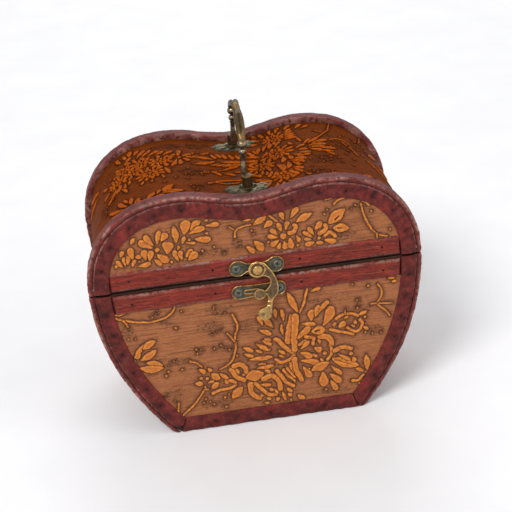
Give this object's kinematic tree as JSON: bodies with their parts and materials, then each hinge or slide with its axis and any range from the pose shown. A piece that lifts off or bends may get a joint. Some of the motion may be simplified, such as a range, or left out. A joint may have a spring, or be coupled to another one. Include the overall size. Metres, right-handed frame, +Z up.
{
  "type": "music box",
  "caption": "Two-lobed tapering wooden case with hinged lid, hook latch, swinging handle, embossed panels and a wind-up cylinder movement with a key on its back.",
  "frame": {"origin": "on the ground under the middle of the case; the front and back boards are equally far from it", "axes": "+X to the right seen from the front, +Y to the back, +Z up"},
  "size_m": [0.1696, 0.1245, 0.1618],
  "materials": {
    "front_back_wood": "sawn pine, hidden by the covering",
    "bent_wood": "bent plywood",
    "velvet": "short pile velvet",
    "embossed_face": "embossed and scorched, satin lacquer",
    "embossed_sides": "embossed and scorched, satin lacquer",
    "leather_cloth": "glossy oxblood leather-cloth, worn edges",
    "red_wood": "red-stained grain, satin lacquer",
    "nail_iron": "dark iron",
    "antique_brass": "dark antique brass, rubbed on the edges",
    "cast_bed": "zinc casting",
    "bright_steel": "brushed",
    "spring_steel": "blued",
    "movement_brass": "polished",
    "fly_plastic": "turned steel",
    "clear_plastic": "clear styrene"
  },
  "bodies": {
    "base": {"base_front_board": "front_back_wood", "base_back_board": "front_back_wood", "left_side_board": "bent_wood", "right_side_board": "bent_wood", "bottom_board": "bent_wood", "base_lining": "velvet", "base_front_panel": "embossed_face", "base_back_panel": "embossed_face", "side_panels": "embossed_sides", "base_front_band": "leather_cloth", "base_back_band": "leather_cloth", "base_edge_strips": "leather_cloth", "base_front_moulding": "red_wood", "base_back_moulding": "red_wood", "base_nails": "nail_iron", "catch_plate": "antique_brass", "catch_post": "antique_brass", "lower_hinge_leaves": "antique_brass", "hinge_pins": "antique_brass", "base_screws": "antique_brass", "bedplate": "cast_bed", "barrel_bridge": "bright_steel", "music_comb": "bright_steel", "governor_frame": "bright_steel", "clear_cover": "clear_plastic", "movement_screws": "bright_steel"},
    "lid": {"lid_front_board": "front_back_wood", "lid_back_board": "front_back_wood", "lid_top_board": "bent_wood", "lid_lining": "velvet", "lid_front_panel": "embossed_face", "lid_back_panel": "embossed_face", "lid_top_panel": "embossed_sides", "lid_front_band": "leather_cloth", "lid_back_band": "leather_cloth", "lid_edge_strips": "leather_cloth", "lid_front_moulding": "red_wood", "lid_back_moulding": "red_wood", "lid_nails": "nail_iron", "lid_stop_block": "bent_wood", "latch_plate": "antique_brass", "latch_rivet": "antique_brass", "upper_hinge_leaves": "antique_brass", "lid_screws": "antique_brass", "handle_rosettes": "antique_brass", "handle_posts": "antique_brass"},
    "latch": {"latch_hook": "antique_brass"},
    "handle": {"handle_arch": "antique_brass"},
    "winding": {"winding_arbor": "bright_steel", "ratchet_wheel": "bright_steel", "winding_key": "antique_brass"},
    "click": {"click_pawl": "spring_steel"},
    "barrel": {"spring_barrel": "bright_steel", "mainspring": "spring_steel"},
    "cylinder": {"music_cylinder": "movement_brass", "cylinder_wheel": "movement_brass"},
    "intermediate": {"intermediate_wheel": "movement_brass"},
    "governor": {"worm_and_fly": "fly_plastic"},
    "stop_lever": {"stop_lever": "spring_steel"},
    "stop_rod": {"stop_rod": "bright_steel"}
  },
  "joints": [
    {"name": "lid_hinge", "type": "hinge", "parent": "base", "child": "lid", "pos_m": [0, 0.0492, 0.087], "axis": [-1, 0, 0], "range_deg": [0, 100]},
    {"name": "latch_swing", "type": "hinge", "parent": "lid", "child": "latch", "pos_m": [0, -0.0502, 0.092], "axis": [0, -1, 0], "range_deg": [0, 110]},
    {"name": "handle_swing", "type": "hinge", "parent": "lid", "child": "handle", "pos_m": [0, 0, 0.1319], "axis": [0, 1, 0], "range_deg": [-80, 80]},
    {"name": "key_wind", "type": "hinge", "parent": "base", "child": "winding", "pos_m": [0, 0.0402, 0.035], "axis": [0, -1, 0], "continuous": true},
    {"name": "click_pivot", "type": "hinge", "parent": "base", "child": "click", "pos_m": [0.00394, 0.0372, 0.02758], "axis": [0, -1, 0], "range_deg": [-6, 10], "stiffness_Nm_per_rad": 0.0002},
    {"name": "cylinder_turn", "type": "hinge", "parent": "base", "child": "cylinder", "pos_m": [0.014, 0.02647, 0.035], "axis": [1, 0, 0], "continuous": true},
    {"name": "barrel_turn", "type": "hinge", "parent": "base", "child": "barrel", "pos_m": [0, 0.0332, 0.035], "axis": [0, -1, 0], "continuous": true},
    {"name": "intermediate_turn", "type": "hinge", "parent": "base", "child": "intermediate", "pos_m": [0.032, 0.03086, 0.02639], "axis": [1, 0, 0], "continuous": true},
    {"name": "governor_turn", "type": "hinge", "parent": "base", "child": "governor", "pos_m": [0.03345, 0.0302, 0.01813], "axis": [0, -1, 0], "continuous": true},
    {"name": "stop_lever_pivot", "type": "hinge", "parent": "base", "child": "stop_lever", "pos_m": [0.02395, 0.0182, 0.01613], "axis": [0, 1, 0], "range_deg": [0, 15]},
    {"name": "stop_rod_slide", "type": "slide", "parent": "base", "child": "stop_rod", "axis": [0, 0, 1], "range_m": [0, 0.0024]}
  ],
  "couplings": [
    {"joint": "barrel_turn", "follows": "cylinder_turn", "ratio": 0.33333},
    {"joint": "intermediate_turn", "follows": "cylinder_turn", "ratio": -3},
    {"joint": "governor_turn", "follows": "cylinder_turn", "ratio": -36},
    {"joint": "stop_lever_pivot", "follows": "lid_hinge", "ratio": 0.15},
    {"joint": "stop_rod_slide", "follows": "lid_hinge", "m_per_rad": 0.00135}
  ]
}
